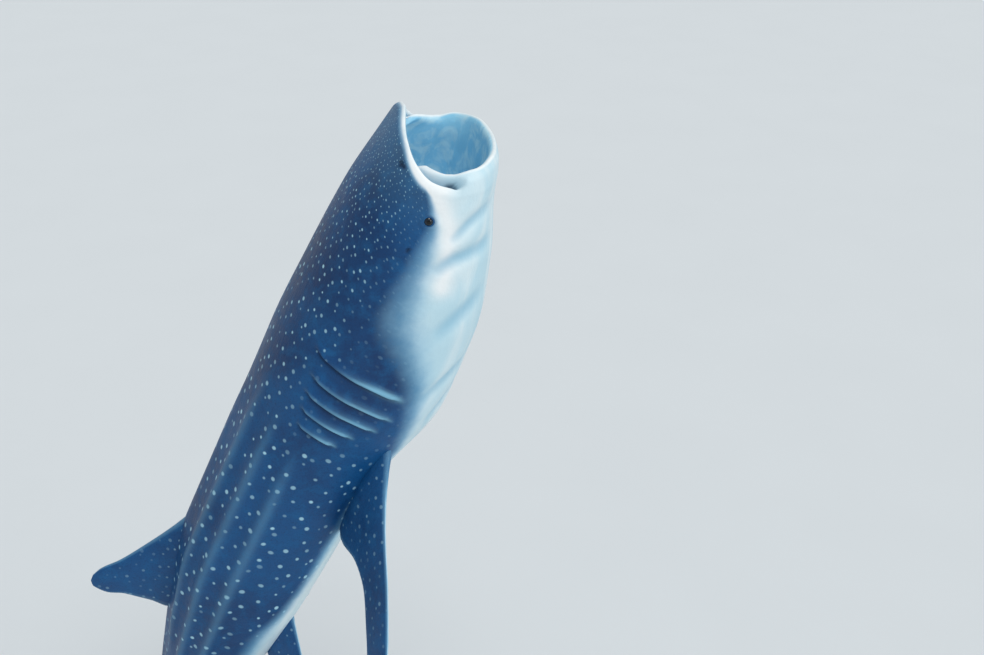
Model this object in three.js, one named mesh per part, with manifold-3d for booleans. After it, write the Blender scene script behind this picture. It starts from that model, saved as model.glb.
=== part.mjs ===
// A whale shark, life size, hanging head-up with its mouth wide open to feed, on a plain display stand.
// Millimetres, +Z up. The origin is the centre of the base's underside. The body's middle plane is XZ as far
// back as the first dorsal fin. The head is up and towards +X, the back faces -X, the right side faces -Y.
import * as THREE from "three";
import { mergeVertices } from "three/addons/utils/BufferGeometryUtils.js";
import Module from "manifold-3d";

const wasm = await Module();
wasm.setup();

// Driving sizes. Most others are shares of the total length. A place on the body is counted from the snout.
const TOTAL_LENGTH = 6000;
const GAP = 0.3;

// Pose: the body points up at one angle, and the tail stem hangs steeper and sways to the animal's left.
const SNOUT = { x: 900, z: 5190 };
const BODY_PITCH = 65;
const TAIL_PITCH = 76;
const BEND_START = 0.5;
const SWAY_DEGREES = 13;
const SWAY_START = 0.45;
const SWAY_WAVE = 0.55;

// Where the body is divided, and how the lower jaw's cut runs from the corners of the mouth to the throat.
const NECK_CUT = 0.172;
const STEM_CUT = 0.575;
const TAIL_ROOT = 0.765;
const TAIL_CORE_END = 0.83;
const JAW_CUT = { corner: [0.014, -0.004], throat: [0.15, -0.095] };

// Body sections: place, height of the back, depth of the belly and half width.
const BODY = [
  [0.0, 0.0439, 0.0399, 0.0765],
  [0.03, 0.0502, 0.0485, 0.0785],
  [0.08, 0.0597, 0.069, 0.0808],
  [0.15, 0.066, 0.087, 0.0819],
  [0.22, 0.0701, 0.0905, 0.0803],
  [0.3, 0.0703, 0.0702, 0.072],
  [0.44, 0.0715, 0.0603, 0.0623],
  [0.5, 0.062, 0.0555, 0.056],
  [0.58, 0.0465, 0.045, 0.046],
  [0.66, 0.0335, 0.032, 0.037],
  [0.72, 0.0245, 0.0225, 0.032],
  [0.765, 0.0205, 0.0185, 0.0265],
  [0.83, 0.009, 0.008, 0.004],
];
// The inside of the mouth and throat, in the same columns.
const CAVITY = [
  [0.0, 0.0345, 0.0297, 0.0605],
  [0.03, 0.0385, 0.0385, 0.0642],
  [0.06, 0.04, 0.048, 0.0645],
  [0.09, 0.038, 0.053, 0.06],
  [0.12, 0.03, 0.047, 0.05],
  [0.15, 0.016, 0.03, 0.03],
];
const SECTION_POWER = 2.25;
const RING_POINTS = 60;

// The mouth's rim. The upper lip's crest runs from a pointed snout back to the corners. The lower lip's runs
// round the jaw and on inside the upper lip, with a groove between, before it fades into the lining.
// The upper lip's crest: angle up from the widest line, and place.
const UPPER_CREST = [
  [-90, 0.0225],
  [-14, 0.0225],
  [-2, 0.0238],
  [6, 0.025],
  [13, 0.0252],
  [21, 0.024],
  [30, 0.0214],
  [40, 0.0181],
  [50, 0.0141],
  [60, 0.0103],
  [70, 0.0065],
  [80, 0.0026],
  [86, 0.0008],
  [90, 0],
];
// The lower lip's crest: angle up from the widest line, place, and depth below the skin.
const LOWER_CREST = [
  [-90, -0.0038, 0.0068],
  [-60, -0.002, 0.0068],
  [-40, 0.0022, 0.0068],
  [-30, 0.0048, 0.007],
  [-17, 0.0082, 0.0079],
  [-9, 0.0114, 0.0087],
  [0, 0.0157, 0.0097],
  [6, 0.0178, 0.0104],
  [13, 0.0187, 0.0112],
  [30, 0.0196, 0.0122],
  [90, 0.0202, 0.0122],
];
// Lip profiles from outside to inside: depths below the skin, and distances behind a crest. The inner rows
// of the corner and the jaw count both from the lower lip's crest.
const LIP_PROFILES = {
  snout: {
    depths: [0, 0.0004, 0.0032, 0.0064, 0.008, 0.009, 0.0098, 0.0104],
    behind: [0.01, 0.004, 0, 0.003, 0.007, 0.011, 0.015, 0.019],
  },
  corner: {
    depths: [0, 0.0004, 0.0028, 0.006, 0.0082],
    behind: [0.01, 0.004, 0, 0.0022, 0.005],
  },
  jaw: {
    depths: [0, 0, 0.0005, 0.0012, 0.002],
    behind: [0.019, 0.0155, 0.012, 0.0085, 0.0055],
  },
  inner: {
    depths: [-0.003, 0, 0.0032],
    behind: [0.0025, 0, 0.0027],
  },
};
const LEAN_END = 0.08;

// Long ridges: angle round the section (0 is the side, 90 the back), height, half width in degrees, and the
// first and last place.
const RIDGES = [
  { angle: 90, height: 0.0025, spread: 8, from: 0.24, to: 0.72 },
  { angle: 15, height: 0.005, spread: 6, from: 0.27, to: 0.9 },
  { angle: 37.5, height: 0.0042, spread: 6, from: 0.24, to: 0.7 },
  { angle: 60, height: 0.0036, spread: 6, from: 0.22, to: 0.58 },
];

// Gill slits: place at the widest line of the flank, angle of the upper end and of the lower end.
const GILLS = [
  [0.199, 37, -26],
  [0.2195, 31, -25],
  [0.2345, 30, -20],
  [0.2495, 27, -10],
  [0.264, 24, -4],
];
const GILL_SLOPE = 0.00035;
const FLAP = { chord: 0.013, lift: 16, thick: 7, root: 26, steps: 7 };

// The eyes, the spiracles behind them, and the nostrils with their barbels on the upper lip.
const EYE = { place: 0.0527, angle: 3, radius: 24, sunk: 13 };
const SPIRACLE = { place: 0.08, angle: 7, radii: [16, 9, 30] };
const NOSTRIL = { place: 0.027, angle: 43, radii: [10, 22, 26], barbel: 20 };

// Fins: where the root sits, and rows of distance out, front edge and rear edge. Median fins start on the
// spine.
const MEDIAN_FINS = {
  dorsal_fin_first: {
    up: 1,
    thickness: 0.13,
    rows: [
      [0.045, 0.395, 0.525],
      [0.0574, 0.405, 0.5365],
      [0.0746, 0.4348, 0.534],
      [0.0976, 0.4734, 0.534],
      [0.1135, 0.4975, 0.5375],
      [0.1272, 0.5135, 0.5345],
      [0.1312, 0.5225, 0.529],
    ],
  },
  dorsal_fin_second: {
    up: 1,
    thickness: 0.11,
    rows: [
      [0.02, 0.6, 0.668],
      [0.036, 0.622, 0.676],
      [0.052, 0.645, 0.676],
      [0.064, 0.661, 0.679],
      [0.067, 0.6675, 0.6755],
    ],
  },
  anal_fin: {
    up: -1,
    thickness: 0.11,
    rows: [
      [0.018, 0.615, 0.672],
      [0.033, 0.637, 0.682],
      [0.048, 0.657, 0.683],
      [0.061, 0.672, 0.688],
      [0.064, 0.679, 0.686],
    ],
  },
};
const PAIRED_FINS = {
  pectoral_fin: {
    at: [0.262, -38],
    lean: -20,
    thickness: 0.11,
    rows: [
      [-0.035, -0.012, 0.075],
      [-0.003, -0.001, 0.104],
      [0.025, 0.031, 0.099],
      [0.046, 0.051, 0.102],
      [0.084, 0.081, 0.126],
      [0.118, 0.113, 0.1525],
      [0.139, 0.138, 0.164],
      [0.1455, 0.1515, 0.1625],
    ],
  },
  pelvic_fin: {
    at: [0.486, -60],
    lean: -42,
    thickness: 0.1,
    rows: [
      [-0.02, -0.006, 0.045],
      [0.0, 0.0, 0.058],
      [0.018, 0.014, 0.06],
      [0.036, 0.031, 0.062],
      [0.047, 0.045, 0.061],
      [0.0495, 0.0515, 0.0585],
    ],
  },
};
// The tail fin in the tail's own plane, back and up from its root: both edges run from the upper tip down.
const CAUDAL = {
  thickness: 0.11,
  front: [
    [0.19, 0.172],
    [0.16, 0.151],
    [0.12, 0.117],
    [0.08, 0.08],
    [0.042, 0.045],
    [0.012, 0.018],
    [0.006, 0.0],
    [0.012, -0.016],
    [0.028, -0.045],
    [0.05, -0.08],
    [0.074, -0.113],
  ],
  rear: [
    [0.197, 0.17],
    [0.187, 0.149],
    [0.164, 0.111],
    [0.136, 0.071],
    [0.112, 0.037],
    [0.097, 0.01],
    [0.092, -0.01],
    [0.09, -0.028],
    [0.091, -0.05],
    [0.091, -0.078],
    [0.084, -0.111],
  ],
};
const FIN_EDGE = 5;
const CHORD_SHARES = [0.07, 0.28, 0.6];

// Stand: a flat base with rounded corners and two round rods up to the chest.
const BASE = { length: 2400, width: 1800, height: 60, corner: 180, bevel: 6 };
const ROD = { x: 400, y: 160, radius: 38, flange: 110, flangeHeight: 18 };

const share = (part) => part * TOTAL_LENGTH;
const radians = THREE.MathUtils.degToRad;
const { clamp, smoothstep, lerp } = THREE.MathUtils;
const signedPower = (value, power) => Math.sign(value) * Math.abs(value) ** power;

// A smooth value from one column of a table, with slopes that never overshoot.
function fromTable(table, place, column) {
  const last = table.length - 1;
  const x = clamp(place, table[0][0], table[last][0]);
  const next = table.findIndex((row, k) => k > 0 && x <= row[0]);
  const rise = (k) => (table[k + 1][column] - table[k][column]) / (table[k + 1][0] - table[k][0]);
  const slope = (k) => {
    if (k === 0) return rise(0);
    if (k === last) return rise(last - 1);
    const [before, after] = [rise(k - 1), rise(k)];
    return before * after <= 0 ? 0 : (2 * before * after) / (before + after);
  };
  const [from, to] = [table[next - 1], table[next]];
  const width = to[0] - from[0];
  const t = (x - from[0]) / width;
  const ends = from[column] * (1 + 2 * t) * (1 - t) ** 2 + to[column] * t * t * (3 - 2 * t);
  return ends + width * t * (1 - t) * (slope(next - 1) * (1 - t) - slope(next) * t);
}

// The spine's directions at a place: ahead to the snout, to the animal's left, and up out of its back.
function directionsAt(place) {
  const bend = smoothstep(place, BEND_START, TAIL_ROOT);
  const pitch = radians(lerp(BODY_PITCH, TAIL_PITCH, bend));
  const wave = Math.max(place - SWAY_START, 0) / SWAY_WAVE;
  const sway = radians(SWAY_DEGREES) * Math.sin(Math.PI * wave);
  const level = new THREE.Vector3(Math.cos(pitch), 0, Math.sin(pitch));
  const side = new THREE.Vector3(0, 1, 0);
  return {
    ahead: level.clone().multiplyScalar(Math.cos(sway)).addScaledVector(side, -Math.sin(sway)),
    left: side.clone().multiplyScalar(Math.cos(sway)).addScaledVector(level, Math.sin(sway)),
    up: new THREE.Vector3(-Math.sin(pitch), 0, Math.cos(pitch)),
  };
}
// The spine itself, stepped from the snout to just past the end of the tail's core.
const SPINE_STEPS = 400;
const SPINE_END = TAIL_CORE_END + 0.02;
const spine = [new THREE.Vector3(SNOUT.x, 0, SNOUT.z)];
for (let i = 1; i <= SPINE_STEPS; i++) {
  const middle = (SPINE_END * (i - 0.5)) / SPINE_STEPS;
  const step = share(SPINE_END / SPINE_STEPS);
  spine.push(spine[i - 1].clone().addScaledVector(directionsAt(middle).ahead, -step));
}
function spineAt(place) {
  const step = clamp((place / SPINE_END) * SPINE_STEPS, 0, SPINE_STEPS - 1e-6);
  const i = Math.floor(step);
  return spine[i].clone().lerp(spine[i + 1], step - i);
}
// A point given by its place along the body and its distances to the left and up, in millimetres.
function atPlace(place, left, up) {
  const axes = directionsAt(place);
  const past = share(Math.min(place, 0));
  return spineAt(place)
    .addScaledVector(axes.ahead, -past)
    .addScaledVector(axes.left, left)
    .addScaledVector(axes.up, up);
}

// Height of the long ridges at one place and angle, the same on both sides.
function ridgeHeight(place, angle) {
  const turned = (angle + 360) % 360;
  const folded = turned > 270 ? turned - 360 : turned > 90 ? 180 - turned : turned;
  return RIDGES.reduce((sum, ridge) => {
    const rise = smoothstep(place, ridge.from, ridge.from + 0.08);
    const fall = 1 - smoothstep(place, ridge.to - 0.06, ridge.to);
    const aside = (folded - ridge.angle) / ridge.spread;
    return sum + ridge.height * rise * fall * Math.exp(-(aside ** 2));
  }, 0);
}
// A point of a section from one table, to the left and up in millimetres, raised along the section's own
// normal. Angles run from the left side over the back.
function sectionPoint(table, place, angle, outward = 0) {
  const [c, s] = [Math.cos(radians(angle)), Math.sin(radians(angle))];
  const width = share(fromTable(table, place, 3));
  const height = share(fromTable(table, place, s > 0 ? 1 : 2));
  const power = 2 / SECTION_POWER;
  const point = new THREE.Vector2(width * signedPower(c, power), height * signedPower(s, power));
  const normal = new THREE.Vector2(signedPower(c, 2 - power) / width, signedPower(s, 2 - power) / height);
  const raise = outward + (table === BODY ? share(ridgeHeight(place, angle)) : 0);
  return point.addScaledVector(normal.normalize(), raise).toArray();
}
// A point of the skin, raised outwards by some millimetres.
function skinPoint(place, angle, outward = 0) {
  return atPlace(place, ...sectionPoint(BODY, place, angle, outward));
}
// Where the crests of the two lips lie at one angle.
function lipCrests(angle) {
  const raised = THREE.MathUtils.radToDeg(Math.asin(Math.sin(radians(angle))));
  return {
    upper: fromTable(UPPER_CREST, raised, 1),
    lower: fromTable(LOWER_CREST, raised, 1),
    lowerDepth: fromTable(LOWER_CREST, raised, 2),
  };
}
// One row of the lips' profile at an angle: its depth below the skin and its place. The snout's profile
// gives way to the corner's, which has both lips, and that to the jaw's.
function lipRow(row, angle) {
  const s = Math.sin(radians(angle));
  const { upper, lower, lowerDepth } = lipCrests(angle);
  const { snout, corner, jaw, inner } = LIP_PROFILES;
  const read = ({ depths, behind }, k, rim, deep = 0) => [deep + depths[k], rim + behind[k]];
  const innerRow = row - corner.depths.length;
  const shared = innerRow < 0 ? null : read(inner, innerRow, lower, lowerDepth);
  const fromCorner = shared ?? read(corner, row, upper);
  const fromOther = s > 0 ? read(snout, row, upper) : (shared ?? read(jaw, row, lower));
  const change = s > 0 ? smoothstep(s, 0.5, 0.85) : smoothstep(-s, 0.02, 0.24);
  return fromCorner.map((value, k) => lerp(value, fromOther[k], change));
}
const LIP_ROWS = LIP_PROFILES.snout.depths.length;
const ANGLES = Array.from({ length: RING_POINTS }, (_, i) => (360 * i) / RING_POINTS);
function lipRing(row) {
  return ANGLES.map((angle) => {
    const [depth, place] = lipRow(row, angle);
    return skinPoint(place, angle, -share(depth));
  });
}
// A ring of the skin or of the mouth's lining. Near the mouth the rings lean to follow the lips.
function wallRing(table, place, outward = 0) {
  return ANGLES.map((angle) => {
    const [, rim] = lipRow(table === BODY ? 0 : LIP_ROWS - 1, angle);
    const leaned = place < LEAN_END ? lerp(rim, LEAN_END, place / LEAN_END) : place;
    return atPlace(leaned, ...sectionPoint(table, leaned, angle, outward));
  });
}

// A closed surface through rings of points with alike counts, with a fan at each end.
function loft(rings) {
  const count = rings[0].length;
  const points = rings.flat();
  const faces = [];
  for (let r = 0; r + 1 < rings.length; r++) {
    for (let i = 0; i < count; i++) {
      const j = (i + 1) % count;
      const [a, b] = [r * count + i, r * count + j];
      faces.push(a, b, b + count, a, b + count, a + count);
    }
  }
  const centre = (ring) => ring.reduce((sum, p) => sum.add(p), new THREE.Vector3()).divideScalar(count);
  const lastStart = (rings.length - 1) * count;
  points.push(centre(rings[0]), centre(rings[rings.length - 1]));
  for (let i = 0; i < count; i++) {
    const j = (i + 1) % count;
    faces.push(j, i, points.length - 2, lastStart + i, lastStart + j, points.length - 1);
  }
  return solid(points, faces);
}
// A solid from points and triangles, turned the right way out.
function solid(points, faces) {
  const make = (triangles) =>
    new wasm.Manifold(
      new wasm.Mesh({
        numProp: 3,
        vertProperties: new Float32Array(points.flatMap((p) => p.toArray())),
        triVerts: new Uint32Array(triangles),
      }),
    );
  const made = make(faces);
  return made.volume() > 0 ? made : make([...faces].reverse());
}
// A solid from a three.js geometry, placed by a matrix.
function solidOf(geometry, matrix = new THREE.Matrix4()) {
  const bare = geometry.clone().applyMatrix4(matrix);
  bare.deleteAttribute("normal");
  bare.deleteAttribute("uv");
  const merged = mergeVertices(bare, 1e-3);
  const place = merged.attributes.position;
  const point = (i) => new THREE.Vector3().fromBufferAttribute(place, i);
  const points = Array.from({ length: place.count }, (_, i) => point(i));
  const faces = [];
  for (let i = 0; i < merged.index.count; i += 3) {
    const face = [0, 1, 2].map((k) => merged.index.getX(i + k));
    if (new Set(face).size === 3) faces.push(...face);
  }
  return solid(points, faces);
}
const largest = (made) => made.decompose().reduce((a, b) => (a.volume() > b.volume() ? a : b));
// A frame of axes on the skin: out of it, back along the body, and round it.
function skinFrame(place, angle, lift) {
  const out = skinPoint(place, angle, 1).sub(skinPoint(place, angle));
  const axes = directionsAt(place);
  const back = axes.ahead.clone().negate();
  out.addScaledVector(back, -out.dot(back)).normalize();
  const round = new THREE.Vector3().crossVectors(back, out);
  return new THREE.Matrix4().makeBasis(back, round, out).setPosition(skinPoint(place, angle, lift));
}
function ball(radii, matrix, detail = 16) {
  const size = new THREE.Matrix4().makeScale(...radii);
  return solidOf(new THREE.SphereGeometry(1, detail, detail / 2), matrix.clone().multiply(size));
}

const halfGap = GAP / 2 / TOTAL_LENGTH;
const TORSO = { from: NECK_CUT + halfGap, to: STEM_CUT - halfGap, steps: 16 };
const TAIL = { from: STEM_CUT + halfGap, to: TAIL_CORE_END, steps: 13 };
// A length of the trunk between two places. Grown a little, it is what the fins are cut clear of.
function trunk({ from, to, steps }, grow = 0) {
  const longer = grow / TOTAL_LENGTH;
  const places = Array.from({ length: steps + 1 }, (_, k) => lerp(from, to, k / steps));
  places[0] -= longer;
  places[steps] += longer;
  return loft(places.map((place) => wallRing(BODY, place, grow)));
}

// The gill flaps lie back over their slits: each is a wedge, flush in front and lifted at its free edge.
function gillFlap([place, upper, lower], side) {
  const rings = [];
  for (let k = 0; k <= FLAP.steps; k++) {
    const t = k / FLAP.steps;
    const angle = lerp(upper, lower, t);
    const slit = place - GILL_SLOPE * angle;
    const fade = Math.sin(Math.PI * lerp(0.08, 0.92, t)) ** 0.6;
    const lift = FLAP.lift * fade;
    const turned = side > 0 ? angle : 180 - angle;
    const at = (behind, outward) => skinPoint(slit + behind, turned, outward);
    rings.push([
      at(-FLAP.chord - 0.001, -FLAP.root),
      at(-FLAP.chord, -1),
      at(-FLAP.chord * 0.45, lift * 0.45),
      at(0, lift),
      at(0.001, lift - FLAP.thick * 0.5),
      at(0, lift - FLAP.thick * fade),
      at(-FLAP.chord * 0.35, -FLAP.root),
    ]);
  }
  return loft(rings);
}

function makeHead() {
  const skinPlaces = [0.155, 0.138, 0.122, 0.106, 0.092, 0.08, 0.066, 0.05, 0.034, 0.018];
  const liningPlaces = [0.012, 0.03, 0.055, 0.08, 0.1, 0.12, 0.137, 0.15];
  let head = loft([
    wallRing(BODY, NECK_CUT - halfGap),
    ...skinPlaces.map((place) => wallRing(BODY, place)),
    ...Array.from({ length: LIP_ROWS }, (_, row) => lipRing(row)),
    ...liningPlaces.map((place) => wallRing(CAVITY, place)),
  ]);
  for (const side of [1, -1]) {
    const angleOf = (angle) => (side > 0 ? angle : 180 - angle);
    const nostril = skinFrame(NOSTRIL.place, angleOf(NOSTRIL.angle), 6);
    const barbel = new THREE.CylinderGeometry(3, 8, NOSTRIL.barbel, 8).rotateX(Math.PI / 2);
    const hung = nostril.clone().multiply(new THREE.Matrix4().makeTranslation(-14, -12 * side, -3));
    head = head
      .subtract(eyeball(side, GAP))
      .subtract(ball(SPIRACLE.radii, skinFrame(SPIRACLE.place, angleOf(SPIRACLE.angle), 0), 12))
      .subtract(ball(NOSTRIL.radii, nostril, 12))
      .add(solidOf(barbel, hung));
  }
  return head;
}
function eyeball(side, grow = 0) {
  const place = skinFrame(EYE.place, side > 0 ? EYE.angle : 180 - EYE.angle, -EYE.sunk);
  const radius = EYE.radius + grow;
  return ball([radius, radius, radius], place);
}
// All that lies on one side of the jaw cut, as a block to take away.
function jawBlock(side) {
  const middle = ([place, up]) => atPlace(place, 0, share(up));
  const [corner, throat] = [middle(JAW_CUT.corner), middle(JAW_CUT.throat)];
  const along = throat.clone().sub(corner).normalize();
  const across = new THREE.Vector3(0, 1, 0);
  const normal = new THREE.Vector3().crossVectors(along, across);
  if (normal.dot(directionsAt(0).up) < 0) normal.negate();
  const size = share(0.5);
  const centre = corner.clone().addScaledVector(normal, side * (size - GAP / 2));
  const matrix = new THREE.Matrix4().makeBasis(along, across, normal.clone()).setPosition(centre);
  return solidOf(new THREE.BoxGeometry(2 * size, 2 * size, 2 * size), matrix);
}

// One ring of a fin: a section with a round front and a thin rear edge, between two edge points.
function finRing(front, rear, thickness, place) {
  const chord = front.distanceTo(rear);
  const half = (s) => FIN_EDGE / 2 + (chord * thickness * Math.sqrt(s) * (1 - s) ** 0.8) / 0.84;
  const at = (s, side) => {
    const p = front.clone().lerp(rear, s);
    return place(p.x, p.y, side * half(s));
  };
  return [
    place(front.x, front.y, 0),
    ...CHORD_SHARES.map((s) => at(s, 1)),
    at(1, 1),
    at(1, -1),
    ...[...CHORD_SHARES].reverse().map((s) => at(s, -1)),
  ];
}
const FIN_RINGS = 13;
function finFromRows({ rows, thickness }, place) {
  const rings = Array.from({ length: FIN_RINGS }, (_, k) => {
    const out = lerp(rows[0][0], rows[rows.length - 1][0], 1 - (1 - k / (FIN_RINGS - 1)) ** 1.5);
    const edge = (column) => new THREE.Vector2(share(fromTable(rows, out, column)), share(out));
    return finRing(edge(1), edge(2), thickness, place);
  });
  return loft(rings);
}
function medianFin(fin) {
  const middle = fin.rows[1][1] + 0.04;
  const axes = directionsAt(middle);
  const start = spineAt(middle);
  return finFromRows(fin, (back, out, side) =>
    start
      .clone()
      .addScaledVector(axes.ahead, share(middle) - back)
      .addScaledVector(axes.up, fin.up * out)
      .addScaledVector(axes.left, side),
  );
}
function pairedFin(fin, side) {
  const [place, angle] = fin.at;
  const axes = directionsAt(place);
  const start = skinPoint(place, side > 0 ? angle : 180 - angle);
  const out = axes.left
    .clone()
    .multiplyScalar(side * Math.cos(radians(fin.lean)))
    .addScaledVector(axes.up, Math.sin(radians(fin.lean)));
  const normal = new THREE.Vector3().crossVectors(axes.ahead, out);
  return finFromRows(fin, (back, away, thick) =>
    start
      .clone()
      .addScaledVector(axes.ahead, -back)
      .addScaledVector(out, away)
      .addScaledVector(normal, thick),
  );
}
function caudalFin() {
  const axes = directionsAt(TAIL_ROOT);
  const start = spineAt(TAIL_ROOT);
  const point = ([back, up]) => new THREE.Vector2(share(back), share(up));
  const curve = (points) => new THREE.SplineCurve(points.map(point));
  const [front, rear] = [curve(CAUDAL.front), curve(CAUDAL.rear)];
  const place = (back, up, side) =>
    start
      .clone()
      .addScaledVector(axes.ahead, -back)
      .addScaledVector(axes.up, up)
      .addScaledVector(axes.left, side);
  const steps = 2 * (CAUDAL.front.length - 1);
  return loft(
    Array.from({ length: steps + 1 }, (_, k) =>
      finRing(front.getPoint(k / steps), rear.getPoint(k / steps), CAUDAL.thickness, place),
    ),
  );
}

function makeBase() {
  const [x, y] = [BASE.length / 2 - BASE.corner, BASE.width / 2 - BASE.corner];
  const r = BASE.corner - BASE.bevel;
  const outline = new THREE.Shape()
    .absarc(x, y, r, 0, Math.PI / 2)
    .absarc(-x, y, r, Math.PI / 2, Math.PI)
    .absarc(-x, -y, r, Math.PI, 1.5 * Math.PI)
    .absarc(x, -y, r, 1.5 * Math.PI, 2 * Math.PI);
  const plate = new THREE.ExtrudeGeometry(outline, {
    depth: BASE.height - 2 * BASE.bevel,
    bevelSize: BASE.bevel,
    bevelThickness: BASE.bevel,
    bevelSegments: 1,
    curveSegments: 5,
  });
  return solidOf(plate, new THREE.Matrix4().makeTranslation(0, 0, BASE.bevel));
}
function makeRod(side) {
  const { radius, flange, flangeHeight } = ROD;
  const top = SNOUT.z - share(0.3);
  const profile = [
    [0, 0],
    [flange, 0],
    [flange, flangeHeight - 4],
    [flange - 4, flangeHeight],
    [radius + 10, flangeHeight],
    [radius, flangeHeight + 10],
    [radius, top],
    [0, top],
  ].map(([x, y]) => new THREE.Vector2(x, y));
  const upright = new THREE.LatheGeometry(profile, 20).rotateX(Math.PI / 2);
  const foot = new THREE.Matrix4().makeTranslation(ROD.x, side * ROD.y, BASE.height + GAP);
  return solidOf(upright, foot);
}

function finish(color, roughness, metalness = 0) {
  return new THREE.MeshStandardMaterial({ color, roughness, metalness });
}
const SKIN_DARK = 0x2f4a5e;
const SKIN_PALE = 0xd5e3ea;
const shark = new THREE.Group();
shark.name = "whale_shark";
function addMesh(name, made, material) {
  const { numProp, vertProperties, triVerts } = made.getMesh();
  const place = new Float32Array((vertProperties.length / numProp) * 3);
  for (let i = 0; i < place.length / 3; i++) {
    place.set(vertProperties.subarray(i * numProp, i * numProp + 3), i * 3);
  }
  const geometry = new THREE.BufferGeometry();
  geometry.setAttribute("position", new THREE.BufferAttribute(place, 3));
  geometry.setIndex(new THREE.BufferAttribute(new Uint32Array(triVerts), 1));
  const mesh = new THREE.Mesh(geometry, material);
  mesh.name = name;
  shark.add(mesh);
}

// Flesh: the head with its lower jaw, the torso with its gills, and the tail.
const head = makeHead();
addMesh("head", largest(head.subtract(jawBlock(-1))), finish(SKIN_DARK, 0.5));
addMesh("lower_jaw", largest(head.subtract(jawBlock(1))), finish(SKIN_PALE, 0.5));
const flaps = GILLS.flatMap((gill) => [gillFlap(gill, 1), gillFlap(gill, -1)]);
const torso = flaps.reduce((made, flap) => made.add(flap), trunk(TORSO));
addMesh("torso", largest(torso), finish(SKIN_DARK, 0.55));
addMesh("tail", trunk(TAIL), finish(SKIN_DARK, 0.55));

// Fins, each cut clear of the flesh it grows from.
const grownTorso = trunk(TORSO, GAP);
const grownTail = trunk(TAIL, GAP);
const clearOfFlesh = (made) => largest(made.subtract(grownTorso).subtract(grownTail));
for (const [name, fin] of Object.entries(MEDIAN_FINS)) {
  addMesh(name, clearOfFlesh(medianFin(fin)), finish(SKIN_DARK, 0.6));
}
for (const [name, fin] of Object.entries(PAIRED_FINS)) {
  addMesh(name + "_right", clearOfFlesh(pairedFin(fin, -1)), finish(SKIN_DARK, 0.6));
  addMesh(name + "_left", clearOfFlesh(pairedFin(fin, 1)), finish(SKIN_DARK, 0.6));
}
addMesh("caudal_fin", clearOfFlesh(caudalFin()), finish(SKIN_DARK, 0.6));

addMesh("eye_right", eyeball(-1), finish(0x101418, 0.15));
addMesh("eye_left", eyeball(1), finish(0x101418, 0.15));

addMesh("stand_base", makeBase(), finish(0x3a3d40, 0.5));
addMesh("stand_rod_right", clearOfFlesh(makeRod(-1)), finish(0xb8bcc0, 0.35, 1));
addMesh("stand_rod_left", clearOfFlesh(makeRod(1)), finish(0xb8bcc0, 0.35, 1));

export default shark;
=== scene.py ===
"""A life-size whale shark feeding head-up, dressed over its CAD solids and shown on a plain stand."""

import math
from collections import namedtuple

import bpy
import numpy as np
from mathutils import Matrix, Vector


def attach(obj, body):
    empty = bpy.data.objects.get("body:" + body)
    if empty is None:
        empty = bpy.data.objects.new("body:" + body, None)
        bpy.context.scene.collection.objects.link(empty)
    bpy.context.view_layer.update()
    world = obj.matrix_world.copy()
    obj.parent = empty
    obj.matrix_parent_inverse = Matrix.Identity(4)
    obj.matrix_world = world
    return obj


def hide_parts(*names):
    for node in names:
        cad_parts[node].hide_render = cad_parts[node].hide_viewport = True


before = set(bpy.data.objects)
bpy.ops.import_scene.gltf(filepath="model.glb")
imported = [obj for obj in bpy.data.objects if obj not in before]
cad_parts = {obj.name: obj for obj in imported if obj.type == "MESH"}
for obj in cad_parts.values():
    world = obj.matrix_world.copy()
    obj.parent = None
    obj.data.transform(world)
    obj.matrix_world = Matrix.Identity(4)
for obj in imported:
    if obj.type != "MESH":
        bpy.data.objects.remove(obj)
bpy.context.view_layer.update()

# Sizes and pose, in metres and degrees. A place is a share of the body's length, from the snout.
LENGTH = 6.0
SNOUT = np.array([0.9, 0.0, 5.19])
BODY_PITCH, TAIL_PITCH = 65, 76
BEND_START, TAIL_ROOT, TAIL_END = 0.5, 0.765, 0.83
SWAY_DEGREES, SWAY_START, SWAY_WAVE = 13, 0.45, 0.55
SKIN_DEPTH = 0.002

# Body sections: place, height of the back, depth of the belly and half width.
BODY = np.array([
    [0.0, 0.0439, 0.0399, 0.0765], [0.03, 0.0502, 0.0485, 0.0785],
    [0.08, 0.0597, 0.069, 0.0808], [0.15, 0.066, 0.087, 0.0819],
    [0.22, 0.0701, 0.0905, 0.0803], [0.3, 0.0703, 0.0702, 0.072],
    [0.44, 0.0715, 0.0603, 0.0623], [0.5, 0.062, 0.0555, 0.056],
    [0.58, 0.0465, 0.045, 0.046], [0.66, 0.0335, 0.032, 0.037],
    [0.72, 0.0245, 0.0225, 0.032], [0.765, 0.0205, 0.0185, 0.0265],
    [0.83, 0.009, 0.008, 0.004],
])
# The inside of the mouth and throat, in the same columns.
CAVITY = np.array([
    [0.0, 0.0345, 0.0297, 0.0605], [0.03, 0.0385, 0.0385, 0.0642],
    [0.06, 0.04, 0.048, 0.0645], [0.09, 0.038, 0.053, 0.06],
    [0.12, 0.03, 0.047, 0.05], [0.15, 0.016, 0.03, 0.03],
])
SECTION_POWER = 2 / 2.25

# The upper lip's crest: angle up from the widest line, and place.
UPPER_CREST = np.array([
    [-90, 0.0225], [-14, 0.0225], [-2, 0.0238], [6, 0.025], [13, 0.0252],
    [21, 0.024], [30, 0.0214], [40, 0.0181], [50, 0.0141], [60, 0.0103],
    [70, 0.0065], [80, 0.0026], [86, 0.0008], [90, 0],
])
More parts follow.
